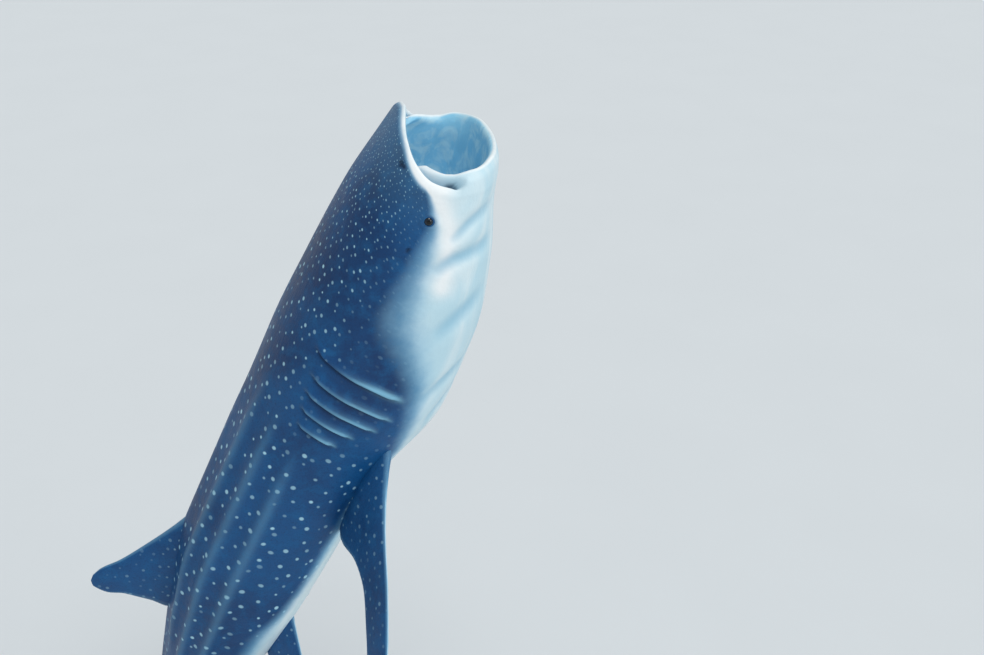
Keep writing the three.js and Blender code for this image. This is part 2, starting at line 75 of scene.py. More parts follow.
# The lower lip's crest: angle up from the widest line, place and depth below the skin.
LOWER_CREST = np.array([
    [-90, -0.0038, 0.0068], [-60, -0.002, 0.0068], [-40, 0.0022, 0.0068],
    [-30, 0.0048, 0.007], [-17, 0.0082, 0.0079], [-9, 0.0114, 0.0087],
    [0, 0.0157, 0.0097], [6, 0.0178, 0.0104], [13, 0.0187, 0.0112],
    [30, 0.0196, 0.0122], [90, 0.0202, 0.0122],
])
# Lip profiles from outside to inside: depth below the skin and distance behind the crest.
SNOUT_LIP = np.array([
    [0, 0.0004, 0.0032, 0.0064, 0.008, 0.009, 0.0098, 0.0104],
    [0.01, 0.004, 0, 0.003, 0.007, 0.011, 0.015, 0.019],
])
CORNER_LIP = np.array([[0, 0.0004, 0.0028, 0.006, 0.0082], [0.01, 0.004, 0, 0.0022, 0.005]])
JAW_LIP = np.array([[0, 0, 0.0005, 0.0012, 0.002], [0.019, 0.0155, 0.012, 0.0085, 0.0055]])
INNER_LIP = np.array([[-0.003, 0, 0.0032], [0.0025, 0, 0.0027]])
OUTER_ROWS = 5
LIP_ROWS = 8
UPPER_CREST_ROW, LOWER_CREST_ROW, GROOVE_ROW = 2, 6, 4.0
LIP_SET_BACK = 0.0003
# Where the lips change their profile, by the sine of the angle: snout above, jaw below.
SNOUT_FADE, JAW_FADE, GROOVE_FADE = (0.5, 0.85), (0.02, 0.24), (0.05, 0.3)
# The skin's rows lean with the rim of the mouth up to this place.
LEAN_END = 0.08

# Long ridges: angle (0 is the side, 90 the back), height, half width in degrees, first and last place.
RIDGES = [
    (90, 0.0025, 8, 0.24, 0.72),
    (15, 0.005, 6, 0.27, 0.9),
    (37.5, 0.0042, 6, 0.24, 0.7),
    (60, 0.0036, 6, 0.22, 0.58),
]
# Gill slits: place at the widest line of the flank, angle of the upper end and of the lower end.
GILLS = [
    (0.199, 37, -26), (0.2195, 31, -25), (0.2345, 30, -20),
    (0.2495, 27, -10), (0.264, 24, -4),
]
# Rows near the gills lean forward with the angle, within these angles and places.
GILL_SLOPE = 0.00035
GILL_ANGLES = (-32, 46)
GILL_LEAN_START, GILL_LEAN_END = (0.155, 0.187), (0.27, 0.312)
# A flap from front to back: place from its slit, share of its lift, and depth in metres.
FLAP_ROWS = [
    (-0.0097, 0.0, 0.0), (-0.0075, 0.15, 0.0), (-0.0052, 0.42, 0.0), (-0.0033, 0.68, 0.0),
    (-0.0018, 0.87, 0.0), (-0.0006, 0.98, 0.0), (0.0001, 0.98, 0.001), (0.0004, 0.97, 0.0035),
    (0.0, 0.97, 0.006), (-0.0011, 0.4, 0.008), (-0.0014, 0.0, 0.010), (0.0002, 0.0, 0.012),
    (0.0022, 0.0, 0.006), (0.0043, 0.0, 0.0),
]
FLAP_LIFT = 0.0155

EYE = {"place": 0.0527, "angle": 3, "radius": 0.0236, "sunk": 0.013}
EYE_RIM = {"radius": 0.0225, "thickness": 0.0052, "sunk": 0.0035}
EYE_RING = {"height": 0.005, "radius": 0.031, "width": 0.009}
EYE_SOCKET = {"depth": 0.006, "radius": 0.021}
# Oval dents, with radii and depth in metres. The mouth's corner gets only painted shade, with no depth.
Dent = namedtuple("Dent", "place angle along around depth")
SPIRACLE = Dent(0.08, 7, 0.014, 0.009, 0.012)
NOSTRIL = Dent(0.027, 43, 0.011, 0.021, 0.012)
CORNER_PIT = Dent(0.0262, -3, 0.022, 0.03, 0.0)
# A barbel: radii of root and tip, length, width of its rounded edges, and its place beside a nostril.
BARBEL = {"root": 0.008, "tip": 0.0035, "length": 0.02, "edge": 0.0015}
BARBEL_BACK, BARBEL_DOWN, BARBEL_OUT = -0.014, 0.012, 0.003

# Where the dark back meets the pale belly: place, angle, and softness of the change in metres.
BORDER = np.array([
    [0.0, 25, 0.018], [0.026, 25, 0.018], [0.035, 11, 0.02],
    [0.048, 2.5, 0.025], [0.062, -0.5, 0.035], [0.087, -0.8, 0.055],
    [0.122, -1.2, 0.08], [0.138, -2.5, 0.1], [0.154, -8.1, 0.105],
    [0.172, -17.2, 0.1], [0.192, -26.6, 0.08], [0.216, -32.4, 0.065],
    [0.241, -37, 0.055], [0.276, -47, 0.05], [0.341, -40, 0.05],
    [0.416, -38.6, 0.05], [0.461, -32.7, 0.055], [0.503, -20, 0.06],
    [0.6, -18, 0.06], [0.7, -14, 0.05], [0.83, -20, 0.04],
])
# Spot spacing in metres along the body.
SPOT_SPACING = np.array([
    [0.0, 0.018], [0.04, 0.026], [0.08, 0.039], [0.13, 0.055], [0.2, 0.07],
    [0.3, 0.08], [0.45, 0.084], [0.65, 0.07], [0.9, 0.052],
])
# Where a painted highlight makes the pale skin whitest, from the mouth's corner down past the eye:
# places and angles.
HIGHLIGHT_BAND = [(0.024, 22), (0.036, 2), (0.052, -10), (0.075, -16), (0.1, -19)]
# The pale band behind the upper lip: width beside and above the mouth and the angles between, as places
# and degrees, softness in metres, and the place where it has ended.
LIP_BAND = {"beside": 0.0077, "above": 0.003, "angles": (22, 55), "softness": 0.012, "end": 0.06}
# Width in metres of the painted highlight on a gill flap's edge, and on the front flap's lower one.
GILL_EDGE, FRONT_GILL_EDGE = 0.0085, 0.017
# How dark the painted shade makes the skin in its hollows.
SHADE = {"corner": 1.6, "gill": 0.6, "dent": 0.9, "eye": 0.6, "groove": 0.22}
# Depth in metres at which a fold's painted shade is full.
FOLD_SHADE_DEPTH = 0.013
# Folds of the throat's skin: places and angles of points along each, width and depth in metres.
THROAT_FOLDS = [
    ([(0.03, -58), (0.0395, -31), (0.054, -20), (0.066, -13)], 0.038, 0.016),
    ([(0.058, -66), (0.0685, -28.5), (0.082, -14), (0.094, -11)], 0.045, 0.018),
    ([(0.1, -62), (0.118, -38), (0.15, -22)], 0.055, 0.014),
    ([(0.165, -70), (0.185, -44), (0.215, -34)], 0.04, 0.014),
    ([(0.185, -82), (0.205, -60), (0.235, -48)], 0.034, 0.012),
]

# Fins on the middle line: side of the body (1 is the back), thickness as a share of the chord, and rows
# of distance above the spine, front edge and rear edge.
MEDIAN_FINS = {
    "dorsal_fin_first": (1, 0.13, [
        [0.045, 0.395, 0.525], [0.0574, 0.405, 0.5365], [0.0746, 0.4348, 0.534],
        [0.0976, 0.4734, 0.534], [0.1135, 0.4975, 0.5375], [0.1272, 0.5135, 0.5345],
        [0.1312, 0.5225, 0.529],
    ]),
    "dorsal_fin_second": (1, 0.11, [
        [0.02, 0.6, 0.668], [0.036, 0.622, 0.676], [0.052, 0.645, 0.676],
        [0.064, 0.661, 0.679], [0.067, 0.6675, 0.6755],
    ]),
    "anal_fin": (-1, 0.11, [
        [0.018, 0.615, 0.672], [0.033, 0.637, 0.682], [0.048, 0.657, 0.683],
        [0.061, 0.672, 0.688], [0.064, 0.679, 0.686],
    ]),
}
# Paired fins: place and angle of the root, lean from level, thickness, and rows out from the skin.
PAIRED_FINS = {
    "pectoral_fin": ((0.262, -38), -20, 0.11, [
        [-0.035, -0.012, 0.075], [-0.003, -0.001, 0.104], [0.025, 0.031, 0.099],
        [0.046, 0.051, 0.102], [0.084, 0.081, 0.126], [0.118, 0.113, 0.1525],
        [0.139, 0.138, 0.164], [0.1455, 0.1515, 0.1625],
    ]),
    "pelvic_fin": ((0.486, -60), -42, 0.1, [
        [-0.02, -0.006, 0.045], [0.0, 0.0, 0.058], [0.018, 0.014, 0.06],
        [0.036, 0.031, 0.062], [0.047, 0.045, 0.061], [0.0495, 0.0515, 0.0585],
    ]),
}
# The tail fin: both edges from the upper tip to the lower, back and up from its root.
TAIL_FRONT = [
    (0.19, 0.172), (0.16, 0.151), (0.12, 0.117), (0.08, 0.08),
    (0.042, 0.045), (0.012, 0.018), (0.006, 0.0), (0.012, -0.016),
    (0.028, -0.045), (0.05, -0.08), (0.074, -0.113),
]
TAIL_REAR = [
    (0.197, 0.17), (0.187, 0.149), (0.164, 0.111), (0.136, 0.071),
    (0.112, 0.037), (0.097, 0.01), (0.092, -0.01), (0.09, -0.028),
    (0.091, -0.05), (0.091, -0.078), (0.084, -0.111),
]
TAIL_THICKNESS = 0.11
FIN_EDGE = 0.0045
CHORD_STEPS = 13
# A fin widens where it meets the skin, by this much and over this distance, in metres.
FIN_FLARE, FIN_FLARE_REACH = 0.014, 0.022
FIN_SPOT_SPACING = 0.065
# Rings of each kind of fin, and how strongly they crowd towards its tip.
MEDIAN_FIN_RINGS, PAIRED_FIN_RINGS, TAIL_FIN_RINGS = 30, 40, 64
TIP_CROWDING = 1.6
# The highest value of the curve that gives a fin its section.
PROFILE_PEAK = 0.42

# Points round the body, with how strongly they crowd towards the flanks.
AROUND = 240
SIDE_CROWDING = 0.35
# Rows of the skin from the tail forwards: first place, place to stop before, and step.
TRUNK_FRONT, TRUNK_ROWS = 0.3, 82
BEHIND_GILLS = (0.294, 0.2705, -0.0055)
AHEAD_OF_GILLS = (0.1862, 0.156, -0.0032)
HEAD_ROWS = (0.153, LEAN_END + 0.0005, -0.0018)
# Shares of the way from the rim of the mouth to where the rows stop leaning.
LEANING_ROWS = (0.98, 0.32, -0.02)
NEAR_RIM = (0.3, 0.2, 0.1)
# Places of the lining's rows, and steps of the smooth curve between all rows of the mouth.
LINING_PLACES = (0.012, 0.03, 0.055, 0.08, 0.1, 0.12, 0.137, 0.15)
THROAT_END = 0.15
MOUTH_STEPS = [4, 4, 4, 8, 6] + [4] * (LIP_ROWS - 3) + [3, 4, 6, 6, 5, 5, 4, 3]
# Low folds of the lining: height in metres, waves round the mouth, and two rates of change along it.
LINING_HEIGHT, LINING_ROUND, LINING_TWIST, LINING_ALONG = 0.0012, 9, 160, 90


def smoothstep(x, low, high):
    t = np.clip((np.asarray(x, float) - low) / (high - low), 0, 1)
    return t * t * (3 - 2 * t)


def lerp(a, b, t):
    return a + (b - a) * t


def window(x, rise, fall):
    """One between two soft edges and zero outside them."""
    return smoothstep(x, *rise) * (1 - smoothstep(x, *fall))


def bell(distance, width, power=2):
    return np.exp(-((distance / width) ** power))


def signed_power(value, power):
    return np.sign(value) * np.abs(value) ** power


def from_table(table, places, column):
    """A smooth value from one column of a table, with slopes that never overshoot."""
    x, y = table[:, 0], table[:, column]
    p = np.clip(places, x[0], x[-1])
    i = np.clip(np.searchsorted(x, p, side="right") - 1, 0, len(x) - 2)
    rise = np.diff(y) / np.diff(x)
    before, after = rise[:-1], rise[1:]
    product = np.maximum(before * after, 0)
    middle = 2 * product / np.where(before + after == 0, 1, before + after)
    slope = np.concatenate([rise[:1], middle, rise[-1:]])
    width = x[i + 1] - x[i]
    t = (p - x[i]) / width
    ends = y[i] * (1 + 2 * t) * (1 - t) ** 2 + y[i + 1] * t * t * (3 - 2 * t)
    return ends + width * t * (1 - t) * (slope[i] * (1 - t) - slope[i + 1] * t)


def directions_at(places):
    """The spine's directions: ahead to the snout, to the animal's left, and up out of its back."""
    places = np.asarray(places, float)
    bend = smoothstep(places, BEND_START, TAIL_ROOT)
    pitch = np.radians(lerp(BODY_PITCH, TAIL_PITCH, bend))
    wave = np.maximum(places - SWAY_START, 0) / SWAY_WAVE
    sway = np.radians(SWAY_DEGREES) * np.sin(np.pi * wave)
    zero = np.zeros_like(pitch)
    level = np.stack([np.cos(pitch), zero, np.sin(pitch)], -1)
    side = np.stack([zero, zero + 1, zero], -1)
    cos, sin = np.cos(sway)[..., None], np.sin(sway)[..., None]
    up = np.stack([-np.sin(pitch), zero, np.cos(pitch)], -1)
    return level * cos - side * sin, side * cos + level * sin, up


SPINE_STEPS = 400
SPINE_END = TAIL_END + 0.02
_step = SPINE_END / SPINE_STEPS
_ahead = directions_at((np.arange(SPINE_STEPS) + 0.5) * _step)[0]
SPINE = SNOUT - np.concatenate([np.zeros((1, 3)), np.cumsum(_ahead, 0)]) * _step * LENGTH


def spine_at(places):
    knots = np.arange(SPINE_STEPS + 1) * _step
    return np.stack([np.interp(places, knots, SPINE[:, k]) for k in range(3)], -1)


def at_place(places, left, up):
    """Points by their place along the body and their distances to the left and up."""
    ahead, leftward, upward = directions_at(places)
    past = np.minimum(places, 0)[..., None] * LENGTH
    return spine_at(places) - ahead * past + leftward * left[..., None] + upward * up[..., None]


def folded_angle(angles):
    """Angle from the widest line, alike on both sides: 90 on the back and -90 on the belly."""
    turned = np.mod(angles, 360)
    return np.where(turned > 270, turned - 360, np.where(turned > 90, 180 - turned, turned))


def ridge_share(places, start, end):
    """How much of a long ridge there is, between its two faded ends."""
    return window(places, (start, start + 0.08), (end - 0.06, end))


def ridge_height(places, angles):
    folded = folded_angle(angles)
    total = np.zeros(np.broadcast(places, folded).shape)
    for angle, height, spread, start, end in RIDGES:
        total += height * ridge_share(places, start, end) * bell(folded - angle, spread)
    return total * LENGTH


def section_point(table, places, angles, outward=0.0):
    """Distances to the left and up of points round a section, raised along its own normal."""
    c, s = np.cos(np.radians(angles)), np.sin(np.radians(angles))
    width = from_table(table, places, 3) * LENGTH
    height = np.where(s > 0, from_table(table, places, 1), from_table(table, places, 2)) * LENGTH
    left, up = width * signed_power(c, SECTION_POWER), height * signed_power(s, SECTION_POWER)
    across = signed_power(c, 2 - SECTION_POWER) / width
    along = signed_power(s, 2 - SECTION_POWER) / height
    size = np.hypot(across, along)
    raised = outward + (ridge_height(places, angles) if table is BODY else 0)
    return left + raised * across / size, up + raised * along / size


def skin_point(places, angles, outward=0.0):
    places, angles = np.broadcast_arrays(np.asarray(places, float), np.asarray(angles, float))
    return at_place(places, *section_point(BODY, places, angles, outward))


def lip_crests(angles):
    raised = folded_angle(angles)
    lower, depth = (from_table(LOWER_CREST, raised, column) for column in (1, 2))
    return from_table(UPPER_CREST, raised, 1), lower, depth


def lip_row(row, angles):
    """Depth below the skin and place of one row of the lips, blended from corner to snout and jaw."""
    s = np.sin(np.radians(angles))
    upper, lower, lower_depth = lip_crests(angles)
    if row < OUTER_ROWS:
        corner = (CORNER_LIP[0, row], upper + CORNER_LIP[1, row])
        jaw = (JAW_LIP[0, row], lower + JAW_LIP[1, row])
    else:
        inner = row - OUTER_ROWS
        corner = jaw = (lower_depth + INNER_LIP[0, inner], lower + INNER_LIP[1, inner])
    snout = (SNOUT_LIP[0, row], upper + SNOUT_LIP[1, row])
    to_snout, to_jaw = smoothstep(s, *SNOUT_FADE), smoothstep(-s, *JAW_FADE)
    return [lerp(lerp(a, b, to_snout), c, to_jaw) for a, b, c in zip(corner, snout, jaw)]


def spline_rows(rows, counts):
    """Rows along a smooth curve through the given rows, with a count of steps for each stretch."""
    rows = np.array(rows)
    gaps = np.sqrt(np.linalg.norm(np.diff(rows[..., :3], axis=0), axis=-1).mean(1))
    wide = gaps[:, None, None]
    rate = np.diff(rows, axis=0) / wide
    inner = (rate[:-1] * wide[1:] + rate[1:] * wide[:-1]) / (gaps[:-1] + gaps[1:])[:, None, None]
    slopes = np.concatenate([rate[:1], inner, rate[-1:]])
    made = []
    for k, count in enumerate(counts):
        for f in np.arange(count) / count:
            ends = (2 * f**3 - 3 * f**2 + 1) * rows[k] + (3 * f**2 - 2 * f**3) * rows[k + 1]
            turns = (f**3 - 2 * f**2 + f) * slopes[k] + (f**3 - f**2) * slopes[k + 1]
            made.append(ends + gaps[k] * turns)
    made.append(rows[-1])
    return made


def ring_angles():
    """Angles of a ring's points, crowded towards the mouth's corners and the eyes."""
    t = 2 * np.pi * np.arange(AROUND) / AROUND
    return np.degrees(t - SIDE_CROWDING / 2 * np.sin(2 * t))


ANGLES = ring_angles()
FOLDED = folded_angle(ANGLES)


def skin_row(places, outward):
    """A row outside the mouth: each point's coordinates, place, angle and way in, which is zero."""
    places = np.broadcast_to(places, ANGLES.shape)
    points = skin_point(places, ANGLES, outward - SKIN_DEPTH)
    return np.column_stack([points, places, ANGLES, np.zeros(AROUND)])


def forward_slope():
    return GILL_SLOPE * np.clip(FOLDED, *GILL_ANGLES)


def gill_lean(place):
    """How far forward a row leans by angle, so that rows follow the gill slits."""
    return -forward_slope() * window(place, GILL_LEAN_START, GILL_LEAN_END)


def leaning_row(place):
    return skin_row(place + gill_lean(place), 0)


def gill_rows():
    """Rows from behind the last gill slit to ahead of the first, with the flaps' free edges."""
    flat = np.linspace(FLAP_ROWS[0][0], FLAP_ROWS[-1][0], len(FLAP_ROWS))
    rows = []
    for slit, (place, upper, lower) in reversed(list(enumerate(GILLS))):
        fade = window((FOLDED - upper) / (lower - upper), (0.0, 0.2), (0.8, 1.0))
        for k in reversed(range(len(FLAP_ROWS))):
            offset, share, depth = FLAP_ROWS[k]
            places = place - forward_slope() + lerp(flat[k], offset, fade)
            rows.append(skin_row(places, fade * (FLAP_LIFT * share - depth)))
        if slit == 1:
            rows.append(leaning_row((GILLS[0][0] + FLAP_ROWS[-1][0] + place + FLAP_ROWS[0][0]) / 2))
    return rows


def body_rows():
    """Rows of the skin from the end of the tail to close behind the rim of the mouth."""
    rows = [skin_row(place, 0) for place in np.linspace(TAIL_END, TRUNK_FRONT, TRUNK_ROWS)]
    rows += [leaning_row(place) for place in np.arange(*BEHIND_GILLS)]
    rows += gill_rows()
    rows += [leaning_row(place) for place in np.arange(*AHEAD_OF_GILLS)]
    rows += [skin_row(place, 0) for place in np.arange(*HEAD_ROWS)]
    rim = lip_row(0, ANGLES)[1]
    return rows + [skin_row(lerp(rim, LEAN_END, share), 0) for share in np.arange(*LEANING_ROWS)]


def mouth_rows():
    """Rows over the lips and down the lining of the mouth and throat."""
    rim, inner_rim = lip_row(0, ANGLES)[1], lip_row(LIP_ROWS - 1, ANGLES)[1]
    rows = [skin_row(lerp(rim, LEAN_END, share), 0) for share in NEAR_RIM]
    for row in range(LIP_ROWS):
        depth, place = lip_row(row, ANGLES)
        place = place + LIP_SET_BACK
        share = row / (LIP_ROWS - 1)
        inward = lerp(-SKIN_DEPTH, SKIN_DEPTH, share)
        points = skin_point(place, ANGLES, inward - depth * LENGTH)
        rows.append(np.column_stack([points, place, ANGLES, np.full(AROUND, share)]))
    for place in LINING_PLACES:
        leaned = np.full(AROUND, place)
        if place < LEAN_END:
            leaned = lerp(inner_rim, LEAN_END, place / LEAN_END)
        points = at_place(leaned, *section_point(CAVITY, leaned, ANGLES, SKIN_DEPTH))
        deep = np.full(AROUND, 1 + place / THROAT_END)
        rows.append(np.column_stack([points, leaned, ANGLES, deep]))
    return spline_rows(rows, MOUTH_STEPS)


def past_rim(points, inside):
    """Distance over the skin from the mouth's rim, above zero inside, and the lip groove's share."""
    steps = np.linalg.norm(np.diff(points, axis=0), axis=-1)
    along = np.concatenate([np.zeros((1, AROUND)), np.cumsum(steps, 0)])
    s = np.sin(np.radians(ANGLES))
    to_snout = smoothstep(s, *SNOUT_FADE)
    crest = lerp(LOWER_CREST_ROW, UPPER_CREST_ROW, to_snout) / (LIP_ROWS - 1)
    rim = np.array([np.interp(crest[k], inside[:, k], along[:, k]) for k in range(AROUND)])
    groove = bell(inside * (LIP_ROWS - 1) - GROOVE_ROW, 1.1)
    return along - rim, groove * (1 - to_snout) * (1 - smoothstep(-s, *GROOVE_FADE))


def grid_normals(points):
    """Outward normals of a closed-round grid of points, by rows."""
    along = np.gradient(points, axis=0)
    around = np.roll(points, -1, 1) - np.roll(points, 1, 1)
    normal = np.cross(around, along)
    return normal / (np.linalg.norm(normal, axis=-1, keepdims=True) + 1e-12)


def arc_per_degree(places):
    return (from_table(BODY, places, 3) + from_table(BODY, places, 1)) / 2 * LENGTH * math.pi / 180


def distance_to_line(places, folded, line):
    """Distance over the skin to a broken line of places and angles, and the share along it."""
    best, share = np.full(places.shape, 9.0), np.zeros(places.shape)
    size = arc_per_degree(places)
    for k in range(len(line) - 1):
        (p0, a0), (p1, a1) = line[k], line[k + 1]
        ex, ey = (p1 - p0) * LENGTH, (a1 - a0) * size
        dx, dy = (places - p0) * LENGTH, (folded - a0) * size
        t = np.clip((dx * ex + dy * ey) / (ex * ex + ey * ey), 0, 1)
        gap = np.hypot(dx - t * ex, dy - t * ey)
        share = np.where(gap < best, (k + t) / (len(line) - 1), share)
        best = np.minimum(best, gap)
    return best, share


def smooth_line(line, steps=8):
    """More points along a broken line, rounded at its corners."""
    points = np.array(line, float)
    t = np.arange(len(points))
    fine = np.linspace(0, len(points) - 1, (len(points) - 1) * steps + 1)
    before, after = np.clip(fine - 0.45, 0, t[-1]), np.clip(fine + 0.45, 0, t[-1])
    rounded = [
        sum(np.interp(f, t, points[:, k]) for f in (before, fine, after)) / 3 for k in range(2)
    ]
    return list(zip(*rounded))


def fold_depth(places, folded):
    """How deep the throat's folds press in, with the raised roll beside each."""
    total = np.zeros(places.shape)
    for line, width, depth in THROAT_FOLDS:
        gap, share = distance_to_line(places, folded, smooth_line(line))
        fade = np.sin(np.pi * np.clip(0.04 + 0.92 * share, 0, 1)) ** 0.7
        total += depth * fade * (bell(gap, width) - 0.35 * bell(gap, 2.4 * width))
    return total


def pit(places, folded, dent):
    """An oval dent's share at each point."""
    along = (places - dent.place) * LENGTH / dent.along
    around = (folded - dent.angle) * arc_per_degree(places) / dent.around
    return np.exp(-((along**2 + around**2) ** 1.5))


def eye_gap(places, folded):
    """Distance over the skin from the middle of the eye."""
    along = (places - EYE["place"]) * LENGTH
    around = (folded - EYE["angle"]) * arc_per_degree(places)
    return np.hypot(along, around)


def surface_relief(places, folded):
    """Height of the small forms: folds, nostrils, spiracles and the rims round the eyes."""
    height = -fold_depth(places, folded)
    for dent in (NOSTRIL, SPIRACLE):
        height -= dent.depth * pit(places, folded, dent)
    gap = eye_gap(places, folded)
    ring = EYE_RING["height"] * bell(gap - EYE_RING["radius"], EYE_RING["width"])
    return height + ring - EYE_SOCKET["depth"] * bell(gap, EYE_SOCKET["radius"], 4)


def lining_swell(places, angles):
    """Height of the low folds in the lining of the mouth."""
    round_mouth = np.sin(angles / 360 * 2 * np.pi * LINING_ROUND + places * LINING_TWIST)
    return LINING_HEIGHT * round_mouth * np.sin(places * LINING_ALONG + angles * 0.05)


def paint(mesh, values):
    """Stores named values of a mesh's points, each one number or one vector a point."""
    for name, data in values.items():
        kind, key = ("FLOAT_VECTOR", "vector") if data.ndim == 2 else ("FLOAT", "value")
        layer = mesh.attributes.new(name, kind, "POINT")
        layer.data.foreach_set(key, np.ascontiguousarray(data, np.float32).ravel())


def spot_places(places, folded, sides):
    """Coordinates in which neighbouring spots are one apart, growing along the body."""
    knots = np.linspace(-0.02, 1.05, 600)
    gaps = np.interp(knots, SPOT_SPACING[:, 0], SPOT_SPACING[:, 1])
    count = np.cumsum(LENGTH * (knots[1] - knots[0]) / gaps)
    spacing = np.interp(places, SPOT_SPACING[:, 0], SPOT_SPACING[:, 1])
    around = (90 - folded) * arc_per_degree(places) / spacing * sides
    along = np.interp(places, knots, count)
    return np.column_stack([along + around, along - around, np.zeros(len(places))]) * math.sqrt(0.5)


def dark_border(places, folded):
    """How far a point lies on the dark side of the border, counted in the border's softness."""
    softness = np.interp(places, BORDER[:, 0], BORDER[:, 2])
    aside = (folded - from_table(BORDER, places, 1)) * arc_per_degree(places) / softness
    band = lerp(LIP_BAND["beside"], LIP_BAND["above"], smoothstep(folded, *LIP_BAND["angles"]))
    behind_lip = (places - lip_crests(folded)[0] - band) * LENGTH / LIP_BAND["softness"]
    return np.where(places < LIP_BAND["end"], np.minimum(aside, behind_lip), aside)


def at_gills(places, folded):
    """For each gill slit: the share down it, and the distance behind it in metres."""
    for place, upper, lower in GILLS:
        yield (folded - upper) / (lower - upper), (places + GILL_SLOPE * folded - place) * LENGTH


def spot_strength(places, folded):
    """Spots fade on the sides of the head and over the gills."""
    head = 1 - smoothstep(places, 0.16, 0.3)
    gills = window(places, (0.175, 0.2), (0.262, 0.29)) * (1 - smoothstep(folded, 20, 42))
    return lerp(1, lerp(0.12, 1, smoothstep(folded, 2, 42)), head) * (1 - 0.75 * gills)


def pale_and_highlight_share(places, folded):
    """How pale the dark skin is: a painted highlight on the edges of the gill flaps and along the
    flank's ridges, and paler skin towards the snout.
    """
    pale = np.zeros(len(places))
    for slit, (t, behind) in enumerate(at_gills(places, folded)):
        fade = window(t, (-0.02, 0.2), (0.85, 1.02))
        edge = GILL_EDGE
        if slit == 0:
            fade = fade * smoothstep(t, 0.2, 0.62)
            edge = lerp(GILL_EDGE, FRONT_GILL_EDGE, smoothstep(t, 0.5, 0.75))
        pale += (0.4 + 0.8 * smoothstep(t, 0.3, 0.9)) * fade * bell(behind + 0.4 * edge, edge)
        pale += 0.25 * fade * smoothstep(t, 0.2, 0.9) * bell(behind + 0.016, 0.016)
    for angle, _, spread, start, end in RIDGES[1:]:
        pale += 0.22 * ridge_share(places, start, end) * bell(folded - angle, 0.6 * spread)
    return pale + 0.2 * (1 - smoothstep(places, 0.0, 0.08))


def highlight_share(places, folded):
    """How white the pale skin is painted, as a painted highlight: along the bright band and the upper
    lip.
    """
    band, _ = distance_to_line(places, folded, HIGHLIGHT_BAND)
    lip = bell((places - lip_crests(folded)[0] - 0.002) * LENGTH, 0.02)
    return np.clip(bell(band, 0.05) + lip * smoothstep(folded, -12, 10), 0, 1)


def shade_share(places, folded, groove):
    """Painted shade: how dark the skin is made in the mouth's corner, behind the gill flaps, round the
    eye and in the other dents.
    """
    shade = SHADE["corner"] * groove * pit(places, folded, CORNER_PIT)
    for t, behind in at_gills(places, folded):
        shade += SHADE["gill"] * window(t, (0.0, 0.15), (0.85, 1.0)) * bell(behind - 0.009, 0.008)
    for dent in (SPIRACLE, NOSTRIL):
        shade += SHADE["dent"] * pit(places, folded, dent)
    return shade + SHADE["eye"] * bell(eye_gap(places, folded), 0.026, 4)


def paint_skin(mesh, places, folded, sides, past=None, groove=0.0, border=None):
    """Gives a piece the values that its skin material reads."""
    past = np.full(len(places), -1.0) if past is None else past
    border = dark_border(places, folded) if border is None else border
    outside = 1 - smoothstep(past, -0.01, 0.01)
    shade = shade_share(places, folded, groove) * outside + SHADE["groove"] * groove
    paint(mesh, {
        "border": np.clip(border, -6, 6),
        "past": past,
        "spots": spot_places(places, folded, sides),
        "spot_strength": spot_strength(places, folded),
        "pale": np.clip(pale_and_highlight_share(places, folded), 0, 1) * outside,
        "painted_highlight": highlight_share(places, folded) * outside,
        "fold_shade": np.clip(fold_depth(places, folded) / FOLD_SHADE_DEPTH, 0, 1) * outside + groove,
        "shade": np.clip(shade, 0, 1),
    })


def grid_mesh(name, points):
    """A mesh of quads through rows of points that close round, with a fan of faces at each end."""
    rows, count = points.shape[:2]
    index = np.arange(rows * count).reshape(rows, count)
    turned = np.roll(index, -1, 1)
    quads = np.stack([index[:-1], turned[:-1], turned[1:], index[1:]], -1).reshape(-1, 4)
    first, last = rows * count, rows * count + 1
    faces = quads.tolist()
    faces += [(b, a, first) for a, b in zip(index[0].tolist(), turned[0].tolist())]
    faces += [(a, b, last) for a, b in zip(index[-1].tolist(), turned[-1].tolist())]
    mesh = bpy.data.meshes.new(name)
    mesh.from_pydata(with_ends(points).tolist(), [], faces)
    mesh.update()
    return mesh


def add_piece(name, mesh):
    piece = bpy.data.objects.new(name, mesh)
    bpy.context.scene.collection.objects.link(piece)
    mesh.polygons.foreach_set("use_smooth", np.ones(len(mesh.polygons), bool))
    return piece


def with_ends(values):
    """Values of a grid's points, then the means of its first and last row for its end points."""
    flat = values.reshape(-1, *values.shape[2:])
    return np.concatenate([flat, values[0].mean(0)[None], values[-1].mean(0)[None]])


def turn_outwards(mesh):
    """Turns a closed mesh's faces to point out, if its volume says that they point in."""
    vertices = np.empty(len(mesh.vertices) * 3)
    mesh.vertices.foreach_get("co", vertices)
    vertices = vertices.reshape(-1, 3)
    mesh.calc_loop_triangles()
    triangles = np.empty(len(mesh.loop_triangles) * 3, int)
    mesh.loop_triangles.foreach_get("vertices", triangles)
    a, b, c = (vertices[triangles[k::3]] for k in range(3))
    if np.einsum("ij,ij->i", a, np.cross(b, c)).sum() < 0:
        mesh.flip_normals()


def make_body():
    rows = np.array(body_rows() + mouth_rows())
    points, places, angles, inside = rows[..., :3], rows[..., 3], rows[..., 4], rows[..., 5]
    folded = folded_angle(angles)
    normals = grid_normals(points)
    trunk = np.einsum("ijk,ijk->ij", normals, points - spine_at(places))[:50]
    outward = np.sign(trunk.sum())
    relief = surface_relief(places, folded) * (1 - smoothstep(inside, 0.05, 0.3))
    relief = relief + lining_swell(places, angles) * smoothstep(inside, 1.0, 1.2)
    points = points + outward * normals * relief[..., None]
    mesh = grid_mesh("skin", points)
    turn_outwards(mesh)
    sides = np.where(np.cos(np.radians(angles)) < 0, -1.0, 1.0)
    past, groove = past_rim(points, inside)
    paint_skin(mesh, *(with_ends(values) for values in (places, folded, sides, past, groove)))
    return add_piece("skin", mesh)


def on_side(name, side):
    return name + ("_left" if side > 0 else "_right")


def side_angle(angle, side):
    return angle if side > 0 else 180 - angle


